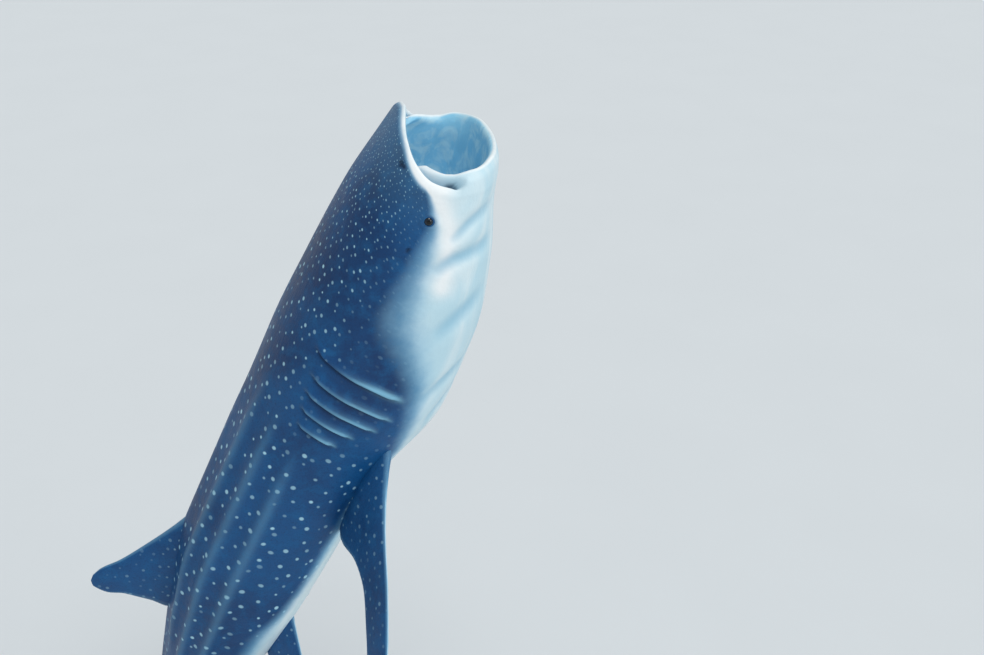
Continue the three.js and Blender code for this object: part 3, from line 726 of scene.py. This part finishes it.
def fin_ring(front, rear, thickness, flare):
    """One ring of a fin, as distances back, out and aside: round in front and thin behind."""
    t = np.arange(1, CHORD_STEPS) / CHORD_STEPS
    s = (1 - np.cos(np.pi * t)) / 2
    profile = np.hypot(*(rear - front)) * thickness * np.sqrt(s) * (1 - s) ** 0.8 / (2 * PROFILE_PEAK)
    half = FIN_EDGE / 2 + profile + flare * np.sqrt(4 * s * (1 - s))
    flat = front + (rear - front) * s[:, None]
    upper, lower = np.column_stack([flat, half]), np.column_stack([flat, -half])[::-1]
    edge = np.array([[0, 0, 0.5], [0.25, 0, 0], [0, 0, -0.5]]) * FIN_EDGE
    share = np.concatenate([[0], s, [1, 1, 1], s[::-1]])
    return np.concatenate([[[*front, 0]], upper, [*rear, 0] + edge, lower]), share


def fin_rings(rows, thickness, skin_height, count):
    """Rings of a fin from its table, widened a little where it meets the skin."""
    rows = np.array(rows)
    steps = 1 - (1 - np.arange(count) / (count - 1)) ** TIP_CROWDING
    rings, shares, spans = [], [], []
    for out in lerp(rows[0, 0], rows[-1, 0], steps):
        flare = FIN_FLARE * math.exp(-max(out * LENGTH - skin_height, 0) / FIN_FLARE_REACH)
        front = np.array([from_table(rows, out, 1) * LENGTH - flare, out * LENGTH])
        rear = np.array([from_table(rows, out, 2) * LENGTH, out * LENGTH])
        ring, share = fin_ring(front, rear, thickness, flare)
        rings.append(ring)
        shares.append(share)
        spans.append(np.full(len(share), (out - rows[0, 0]) / (rows[-1, 0] - rows[0, 0])))
    return np.array(rings), np.array(shares), np.array(spans)


def paint_fin(mesh, rings, shares, spans, root_place, dark_side, belly_white):
    """Gives a fin its skin values: dark, with a paler front edge, and pale on any underside."""
    side = np.sign(rings[..., 2]) * dark_side
    zero = np.zeros_like(shares)
    white = belly_white * lerp(1, smoothstep(spans, 0.12, 0.36), bell(shares, 0.08))
    under = np.where(side < 0, smoothstep(shares, 0.002, 0.02), 0.0)
    edge = 0.72 * bell(shares, 0.01)
    along, out = rings[..., 0] / FIN_SPOT_SPACING, rings[..., 1] / FIN_SPOT_SPACING
    values = {
        "border": 3.0 - 5.2 * np.maximum(under, edge) * white,
        "past": zero - 1,
        "spots": np.stack([along + root_place * 100, out + 40 * side, zero], -1),
        "spot_strength": 0.5 * (1 - 0.5 * spans),
        "pale": 0.35 * bell(shares, 0.03) + 0.2 * (shares > 0.97),
        "shade": zero,
        "painted_highlight": zero,
        "fold_shade": zero,
    }
    paint(mesh, {name: with_ends(value) for name, value in values.items()})


def fin_piece(name, fin, start, out, side, root_place, dark_side=1, belly_white=0.0):
    """A fin's skin, from rings measured back along the body, out along the fin and to its side."""
    back = -directions_at(root_place)[0]
    mesh = grid_mesh(name + "_skin", start + fin[0] @ np.array([back, out, side]))
    turn_outwards(mesh)
    paint_fin(mesh, *fin, root_place, dark_side, belly_white)
    return add_piece(name + "_skin", mesh)


def median_fin(name):
    up, thickness, rows = MEDIAN_FINS[name]
    middle = rows[1][1] + 0.04
    ahead, left, upward = directions_at(middle)
    start = spine_at(middle) + ahead * middle * LENGTH
    height = float(section_point(BODY, np.array(middle), np.array(90.0 * up))[1]) * up
    fin = fin_rings(rows, thickness, height, MEDIAN_FIN_RINGS)
    return fin_piece(name, fin, start, upward * up, left, middle)


def paired_fin(name, side):
    (place, angle), lean, thickness, rows = PAIRED_FINS[name]
    ahead, left, upward = directions_at(place)
    start, lean = skin_point(place, side_angle(angle, side)), math.radians(lean)
    out = left * side * math.cos(lean) + upward * math.sin(lean)
    normal = np.cross(ahead, out)
    dark_side = 1 if normal @ upward > 0 else -1
    fin = fin_rings(rows, thickness, 0.0, PAIRED_FIN_RINGS)
    return fin_piece(on_side(name, side), fin, start, out, normal, place, dark_side, 1.0)


def catmull(points, count):
    """Points along a smooth curve through the given ones, evenly by their number."""
    p = np.array(points)
    padded = np.concatenate([[2 * p[0] - p[1]], p, [2 * p[-1] - p[-2]]])
    t = np.linspace(0, len(p) - 1, count)
    i = np.minimum(t.astype(int), len(p) - 2)
    f = (t - i)[:, None]
    a, b, c, d = (padded[i + k] for k in range(4))
    square, cube = 2 * a - 5 * b + 4 * c - d, 3 * b - a - 3 * c + d
    return 0.5 * (2 * b + (c - a) * f + square * f**2 + cube * f**3)


def tail_fin():
    _, left, upward = directions_at(TAIL_ROOT)
    count = TAIL_FIN_RINGS
    front, rear = (catmull(edge, count) * LENGTH for edge in (TAIL_FRONT, TAIL_REAR))
    made = [fin_ring(f, r, TAIL_THICKNESS, 0.0) for f, r in zip(front, rear)]
    rings, shares = (np.array(values) for values in zip(*made))
    spans = np.repeat(np.abs(np.linspace(-1, 1, count))[:, None], rings.shape[1], 1)
    start = spine_at(TAIL_ROOT)
    return fin_piece("caudal_fin", (rings, shares, spans), start, upward, left, TAIL_ROOT)


def skin_frame(place, angle, lift):
    """Axes on the skin: back along the body, round it, and out of it."""
    out = skin_point(place, angle, 0.001) - skin_point(place, angle)
    back = -directions_at(place)[0]
    out = out - back * (out @ back)
    out = out / np.linalg.norm(out)
    matrix = Matrix([back, np.cross(back, out), out]).transposed().to_4x4()
    matrix.translation = Vector(skin_point(place, angle, lift))
    return matrix


def deselect():
    bpy.ops.object.select_all(action="DESELECT")


def finish_piece(name, smooth_angle=None):
    """Names the piece that was just made, settles its place into its mesh and smooths it."""
    piece = bpy.context.object
    piece.name = piece.data.name = name
    bpy.ops.object.transform_apply(location=True, rotation=True, scale=True)
    if smooth_angle is None:
        bpy.ops.object.shade_smooth()
    else:
        bpy.ops.object.shade_smooth_by_angle(angle=math.radians(smooth_angle))
    deselect()
    return piece


def add_bevel(piece, width, segments):
    bevel = piece.modifiers.new("edges", "BEVEL")
    bevel.width, bevel.segments, bevel.limit_method = width, segments, "ANGLE"
    bpy.ops.object.modifier_apply(modifier=bevel.name)


def make_eye(side):
    """An eyeball whose poles look in and out, so that its rings are the pupil's and the iris's."""
    deselect()
    where = skin_frame(EYE["place"], side_angle(EYE["angle"], side), -EYE["sunk"])
    bpy.ops.mesh.primitive_uv_sphere_add(segments=48, ring_count=40, radius=EYE["radius"])
    bpy.context.object.matrix_world = where
    piece = finish_piece(on_side("eyeball", side))
    centre, out = where.translation, where.col[2].to_3d()
    turn = [math.degrees(out.angle(v.co - centre)) for v in piece.data.vertices]
    paint(piece.data, {"turn": np.array(turn) / 90})
    return piece


def paint_small(piece, place, angle, side, border):
    """Gives a small piece the skin's values at one place."""
    count = len(piece.data.vertices)
    values = (np.full(count, float(value)) for value in (place, angle, side))
    paint_skin(piece.data, *values, border=np.full(count, border))


def make_eye_rim(side):
    """The low ring of skin that the eye sits in."""
    deselect()
    bpy.ops.mesh.primitive_torus_add(
        major_segments=48,
        minor_segments=16,
        major_radius=EYE_RIM["radius"],
        minor_radius=EYE_RIM["thickness"],
    )
    where = skin_frame(EYE["place"], side_angle(EYE["angle"], side), -EYE_RIM["sunk"])
    bpy.context.object.matrix_world = where
    piece = finish_piece(on_side("eye_rim", side))
    paint_small(piece, EYE["place"], 20, side, 2.0)
    return piece


def make_barbel(side):
    """The short soft barbel at a nostril."""
    deselect()
    nostril = skin_frame(NOSTRIL.place, side_angle(NOSTRIL.angle, side), BARBEL_OUT)
    bpy.ops.mesh.primitive_cone_add(
        vertices=24, radius1=BARBEL["root"], radius2=BARBEL["tip"], depth=BARBEL["length"]
    )
    beside = Matrix.Translation((BARBEL_BACK, -BARBEL_DOWN * side, 0))
    bpy.context.object.matrix_world = nostril @ beside
    bpy.ops.object.mode_set(mode="EDIT")
    bpy.ops.mesh.select_all(action="SELECT")
    bpy.ops.mesh.bevel(offset=BARBEL["edge"], segments=3)
    bpy.ops.object.mode_set(mode="OBJECT")
    piece = finish_piece(on_side("barbel", side))
    paint_small(piece, NOSTRIL.place, NOSTRIL.angle, side, 0.3)
    return piece


# The stand, in metres.
BASE = {"length": 2.4, "width": 1.8, "height": 0.06, "corner": 0.18, "bevel": 0.006}
ROD = {"x": 0.4, "y": 0.16, "radius": 0.038, "seat": 0.05, "flange": 0.11, "flange_height": 0.018}
WELD = {"radius": ROD["radius"] + 0.001, "thickness": 0.007}
SCREW = {"radius": 0.011, "height": 0.009, "lift": 0.004, "reach": 0.078}
CAD_GAP = 0.0003


def make_base():
    deselect()
    height = BASE["height"]
    bpy.ops.mesh.primitive_cube_add(size=1, location=(0, 0, height / 2))
    piece = bpy.context.object
    piece.scale = (BASE["length"], BASE["width"], height)
    bpy.ops.object.transform_apply(location=True, rotation=True, scale=True)
    bpy.ops.object.mode_set(mode="EDIT")
    bpy.ops.mesh.select_mode(type="EDGE")
    bpy.ops.mesh.select_all(action="DESELECT")
    bpy.ops.object.mode_set(mode="OBJECT")
    for edge in piece.data.edges:
        a, b = (piece.data.vertices[k].co for k in edge.vertices)
        edge.select = abs(a.z - b.z) > height / 2
    bpy.ops.object.mode_set(mode="EDIT")
    bpy.ops.mesh.bevel(offset=BASE["corner"], segments=16)
    bpy.ops.object.mode_set(mode="OBJECT")
    add_bevel(piece, BASE["bevel"], 3)
    return finish_piece("base_plate", 30)


def cylinder(radius, depth, centre, vertices=64):
    bpy.ops.mesh.primitive_cylinder_add(
        vertices=vertices, radius=radius, depth=depth, location=centre
    )
    return bpy.context.object


def make_rod(side):
    """A round rod that ends inside the chest, on a flange with its weld and four screws."""
    deselect()
    foot, height = BASE["height"] + CAD_GAP, ROD["flange_height"]
    x, y = ROD["x"], side * ROD["y"]
    chest = skin_point(np.linspace(0.2, 0.5, 601), 270.0)
    top = float(np.interp(x, chest[::-1, 0], chest[::-1, 2])) + ROD["seat"]
    cylinder(ROD["radius"], top - foot, (x, y, (top + foot) / 2))
    pieces = [finish_piece(on_side("rod", side), 30)]
    add_bevel(cylinder(ROD["flange"], height, (x, y, foot + height / 2)), 0.003, 3)
    pieces.append(finish_piece(on_side("flange", side), 30))
    bpy.ops.mesh.primitive_torus_add(
        major_segments=64,
        minor_segments=12,
        major_radius=WELD["radius"],
        minor_radius=WELD["thickness"],
        location=(x, y, foot + height),
    )
    pieces.append(finish_piece(on_side("weld", side)))
    for k in range(4):
        turn = math.pi / 4 + k * math.pi / 2
        dx, dy = SCREW["reach"] * math.cos(turn), SCREW["reach"] * math.sin(turn)
        centre = (x + dx, y + dy, foot + height + SCREW["lift"])
        add_bevel(cylinder(SCREW["radius"], SCREW["height"], centre, 6), 0.0012, 2)
        pieces.append(finish_piece(f"{on_side('screw', side)}_{k + 1}", 30))
    return pieces


# Materials


class Nodes:
    """Short names for building one material's nodes."""

    def __init__(self, name):
        self.material = bpy.data.materials.new(name)
        self.material.use_nodes = True
        self.tree = self.material.node_tree
        self.shader = self.tree.nodes["Principled BSDF"]

    def add(self, kind, **settings):
        node = self.tree.nodes.new(kind)
        for key, value in settings.items():
            setattr(node, key, value)
        return node

    def put(self, socket, value):
        """Sets a socket to a number, or links it to another node's output."""
        if isinstance(value, bpy.types.NodeSocket):
            self.tree.links.new(value, socket)
        elif value is not None:
            socket.default_value = value

    def fill(self, node, values):
        """Sets a node's sockets by name."""
        for name, value in values.items():
            self.put(node.inputs[name], value)

    def finish(self, values):
        """Sets the shader's sockets by name and gives the material."""
        self.fill(self.shader, values)
        return self.material

    def math(self, operation, a, b=None, c=None):
        node = self.add("ShaderNodeMath", operation=operation)
        for socket, value in zip(node.inputs, (a, b, c)):
            self.put(socket, value)
        return node.outputs[0]

    def attribute(self, name, output="Fac"):
        return self.add("ShaderNodeAttribute", attribute_name=name).outputs[output]

    def object_place(self, scale=(1, 1, 1)):
        mapping = self.add("ShaderNodeMapping")
        place = self.add("ShaderNodeTexCoord").outputs["Object"]
        self.fill(mapping, {"Vector": place, "Scale": scale})
        return mapping.outputs["Vector"]

    def noise(self, vector, scale, detail=3.0, roughness=0.5, distortion=0.0):
        node = self.add("ShaderNodeTexNoise")
        self.fill(node, {
            "Vector": vector,
            "Scale": scale,
            "Detail": detail,
            "Roughness": roughness,
            "Distortion": distortion,
        })
        return node.outputs["Fac"]

    def ramp(self, value, low, high, out_low=0.0, out_high=1.0, smooth=True):
        kind = "SMOOTHSTEP" if smooth else "LINEAR"
        node = self.add("ShaderNodeMapRange", interpolation_type=kind)
        for socket, number in zip(node.inputs, (value, low, high, out_low, out_high)):
            self.put(socket, number)
        return node.outputs[0]

    def mix(self, factor, a, b):
        node = self.add("ShaderNodeMix", data_type="RGBA")
        for socket, value in zip((node.inputs[0], node.inputs[6], node.inputs[7]), (factor, a, b)):
            self.put(socket, value)
        return node.outputs[2]

    def bump(self, height, strength, distance, normal=None):
        node = self.add("ShaderNodeBump")
        values = {"Strength": strength, "Distance": distance, "Height": height, "Normal": normal}
        self.fill(node, values)
        return node.outputs["Normal"]


def colour(r, g, b):
    """A colour from everyday 0 to 255 values."""

    def linear(value):
        value /= 255
        return value / 12.92 if value <= 0.04045 else ((value + 0.055) / 1.055) ** 2.4

    return (linear(r), linear(g), linear(b), 1.0)


def spot_layer(n):
    """Roundish spots, one to a cell, each with its own size and brightness."""
    cells = n.add("ShaderNodeTexVoronoi", voronoi_dimensions="2D", feature="F1")
    n.fill(cells, {"Vector": n.attribute("spots", "Vector"), "Scale": 1.0, "Randomness": 0.7})
    parts = n.add("ShaderNodeSeparateColor")
    n.put(parts.inputs[0], cells.outputs["Color"])
    size = n.ramp(parts.outputs[0], 0, 1, 0.07, 0.15, smooth=False)
    near = n.math("SUBTRACT", size, cells.outputs["Distance"])
    shape = n.ramp(near, -0.05, 0.05)
    bright = n.ramp(parts.outputs[1], 0, 1, 0.25, 1.0, smooth=False)
    return n.math("MULTIPLY", shape, bright)


def skin_material():
    n = Nodes("whale_shark_skin")
    place = n.object_place()
    border, past = n.attribute("border"), n.attribute("past")
    broad, middle = n.noise(place, 1.6, 4), n.noise(place, 14, 4, 0.6)
    fine = n.noise(place, 110, 3, 0.6)

    wobble = n.math("MULTIPLY_ADD", n.math("SUBTRACT", middle, 0.5), 0.6, border)
    dark = n.ramp(wobble, -1.15, 1.15)

    back = n.mix(n.ramp(broad, 0.35, 0.65), colour(5, 52, 100), colour(10, 78, 132))
    back = n.mix(n.ramp(middle, 0.42, 0.72, 0.0, 0.4), back, colour(20, 100, 154))
    back = n.mix(n.ramp(fine, 0.45, 0.75, 0.0, 0.35), back, colour(4, 36, 76))
    marks = n.math("MULTIPLY", spot_layer(n), n.attribute("spot_strength"))
    back = n.mix(marks, back, colour(166, 212, 230))
    # Paler skin from the pale value: partly a painted highlight on the gill flaps' edges and the
    # flank's ridges, partly a paler snout and fin edges.
    back = n.mix(n.math("MULTIPLY", n.attribute("pale"), 0.8), back, colour(136, 196, 224))

    strands = n.noise(n.object_place((1.0, 4, 1.0)), 1.7, 3, 0.5, 0.8)
    belly = n.mix(n.ramp(strands, 0.32, 0.7), colour(192, 224, 236), colour(226, 240, 244))
    belly = n.mix(n.ramp(broad, 0.5, 0.8, 0.0, 0.35), belly, colour(166, 208, 226))
    # Painted highlight: the pale skin turns near white along the bright band and the upper lip.
    belly = n.mix(n.math("MULTIPLY", n.attribute("painted_highlight"), 0.85), belly, colour(250, 252, 252))
    # Painted shade in the throat's folds and the lip's groove: the belly turns a darker blue there.
    belly = n.mix(n.math("MULTIPLY", n.attribute("fold_shade"), 0.8), belly, colour(126, 186, 214))
    belly = n.mix(n.ramp(wobble, -1.7, 0.2, 0.0, 0.8), belly, colour(92, 166, 208))
    skin = n.mix(dark, belly, back)

    swirl = n.noise(place, 5.0, 5, 0.55, 2.4)
    lining = n.mix(n.ramp(swirl, 0.38, 0.62), colour(150, 214, 242), colour(196, 236, 250))
    # Painted shade deeper in the mouth: the lining darkens further from the rim.
    lining = n.mix(n.ramp(past, 0.35, 1.0, 0.0, 0.4), lining, colour(96, 176, 220))
    # Painted highlight along the lips' crest: round the rim of the mouth the skin turns near white.
    lip = n.mix(n.ramp(middle, 0.4, 0.7), colour(240, 247, 249), colour(224, 238, 243))
    skin = n.mix(n.ramp(past, 0.004, 0.024), skin, lining)
    crest = n.math("SUBTRACT", n.ramp(past, -0.016, -0.004), n.ramp(past, 0.004, 0.018))
    skin = n.mix(crest, skin, lip)
    # Painted shade: the skin darkens towards a deep blue in its hollows.
    skin = n.mix(n.math("MULTIPLY", n.attribute("shade"), 0.75), skin, colour(12, 46, 80))

    grain = n.bump(n.noise(place, 420, 2, 0.5), 0.18, 0.002)
    wrinkle = n.bump(n.noise(n.object_place((1, 2.5, 1)), 22, 4, 0.55), 0.22, 0.012, grain)
    return n.finish({
        "Base Color": skin,
        "Roughness": n.ramp(middle, 0.3, 0.7, 0.44, 0.58),
        "Specular IOR Level": 0.3,
        "Coat Weight": 0.05,
        "Coat Roughness": 0.35,
        "Normal": wrinkle,
    })


def eye_material():
    n = Nodes("shark_eye")
    turn = n.attribute("turn")
    flecks = n.noise(n.object_place(), 900, 3)
    iris = n.mix(n.ramp(flecks, 0.35, 0.65), colour(14, 24, 34), colour(30, 42, 52))
    shown = n.mix(n.ramp(turn, 0.24, 0.29), colour(4, 6, 9), iris)
    shown = n.mix(n.ramp(turn, 0.46, 0.53), shown, colour(10, 26, 44))
    return n.finish({
        "Base Color": shown,
        "Roughness": n.ramp(flecks, 0.3, 0.7, 0.1, 0.16),
        "Specular IOR Level": 0.3,
        "Coat Weight": 0.2,
        "Coat Roughness": 0.03,
        "Normal": n.bump(flecks, 0.05, 0.0005),
    })


def paint_material():
    n = Nodes("satin_base_paint")
    place = n.object_place()
    broad, fine = n.noise(place, 2.2, 4), n.noise(place, 260, 3, 0.6)
    shown = n.mix(n.ramp(broad, 0.3, 0.7), colour(58, 62, 66), colour(74, 78, 82))
    shown = n.mix(n.ramp(fine, 0.6, 0.8, 0.0, 0.35), shown, colour(96, 100, 104))
    roughness = n.ramp(n.noise(place, 9, 5), 0.3, 0.7, 0.38, 0.55)
    normal = n.bump(fine, 0.25, 0.0006)
    return n.finish({"Base Color": shown, "Roughness": roughness, "Normal": normal})


def steel_material():
    n = Nodes("brushed_rod_steel")
    streaks = n.noise(n.object_place((240, 240, 3)), 1.0, 4, 0.6)
    broad = n.noise(n.object_place(), 6, 3)
    shown = n.mix(n.ramp(streaks, 0.3, 0.7), colour(150, 154, 158), colour(190, 194, 198))
    shown = n.mix(n.ramp(broad, 0.55, 0.8, 0.0, 0.3), shown, colour(122, 126, 132))
    return n.finish({
        "Base Color": shown,
        "Metallic": 1.0,
        "Roughness": n.ramp(streaks, 0.3, 0.7, 0.26, 0.42),
        "Normal": n.bump(streaks, 0.12, 0.0004),
    })


def floor_material():
    n = Nodes("pale_floor")
    mottle = n.ramp(n.noise(n.object_place(), 0.8, 4), 0.3, 0.7)
    shown = n.mix(mottle, colour(218, 223, 226), colour(219, 224, 227))
    return n.finish({"Base Color": shown, "Roughness": 0.9})


def dress(piece, material, slot, *nodes):
    """Gives a finished piece its material and its body, and hides the CAD parts that it stands for."""
    piece.data.materials.clear()
    piece.data.materials.append(material)
    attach(piece, "root")
    if nodes:
        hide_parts(*nodes)


def build_shark():
    skin = skin_material()
    dress(make_body(), skin, "skin_dark", "head", "lower_jaw", "torso", "tail")
    for name in MEDIAN_FINS:
        dress(median_fin(name), skin, "skin_dark", name)
    for name in PAIRED_FINS:
        dress(paired_fin(name, 1), skin, "skin_dark", name + "_left")
        dress(paired_fin(name, -1), skin, "skin_dark", name + "_right")
    dress(tail_fin(), skin, "skin_dark", "caudal_fin")
    eye = eye_material()
    for side, word in ((1, "left"), (-1, "right")):
        dress(make_eye(side), eye, "eye", "eye_" + word)
        dress(make_eye_rim(side), skin, "skin_dark")
        dress(make_barbel(side), skin, "skin_pale")


def build_stand():
    dress(make_base(), paint_material(), "stand_base", "stand_base")
    steel = steel_material()
    for side, word in ((1, "left"), (-1, "right")):
        rod, *fittings = make_rod(side)
        dress(rod, steel, "stand_rod", "stand_rod_" + word)
        for piece in fittings:
            dress(piece, steel, "stand_rod")


# Camera, floor and lights, with the camera's turn and drop in degrees and its lens in millimetres.
CAMERA_FROM_SNOUT = Vector((-0.4322, -5.1383, 1.7688))
CAMERA_TURN, CAMERA_DROP = -6.8196, 28.9311
LENS = 42.17
FLOOR_SIZE, FLOOR_DROP = 120, 0.001
# Suns: direction, width in degrees, strength and tint.
SUNS = {
    "overhead": ((-0.25, 0.35, -1.0), 35, 1.5, (1.0, 0.99, 0.97)),
    "front": ((-1.0, 0.9, -0.35), 25, 0.7, (0.97, 0.99, 1.0)),
}
ROOM_TINT, ROOM_STRENGTH = (0.86, 0.91, 0.95, 1), 0.5


def look_at(thing, direction):
    thing.rotation_euler = Vector(direction).to_track_quat("-Z", "Y").to_euler()


def add_camera():
    data = bpy.data.cameras.new("camera")
    data.sensor_width, data.lens = 36, LENS
    data.clip_end = 200
    camera = bpy.data.objects.new("camera", data)
    camera.location = Vector(SNOUT) + CAMERA_FROM_SNOUT
    turn, drop = math.radians(CAMERA_TURN), math.radians(CAMERA_DROP)
    ahead = (-math.sin(turn) * math.cos(drop), math.cos(turn) * math.cos(drop), -math.sin(drop))
    look_at(camera, ahead)
    bpy.context.scene.collection.objects.link(camera)
    bpy.context.scene.camera = camera


def add_sun(name, direction, width, strength, tint):
    data = bpy.data.lights.new(name, "SUN")
    data.angle, data.energy, data.color = math.radians(width), strength, tint
    light = bpy.data.objects.new(name, data)
    look_at(light, direction)
    bpy.context.scene.collection.objects.link(light)


def set_stage():
    deselect()
    bpy.ops.mesh.primitive_plane_add(size=FLOOR_SIZE, location=(0, 0, -FLOOR_DROP))
    floor = finish_piece("floor")
    floor.data.materials.append(floor_material())
    for name, sun in SUNS.items():
        add_sun(name, *sun)
    world = bpy.data.worlds.new("room")
    world.use_nodes = True
    background = world.node_tree.nodes["Background"].inputs
    background["Color"].default_value = ROOM_TINT
    background["Strength"].default_value = ROOM_STRENGTH
    bpy.context.scene.world = world
    bpy.context.scene.view_settings.view_transform = "Standard"


add_camera()
set_stage()
build_shark()
build_stand()
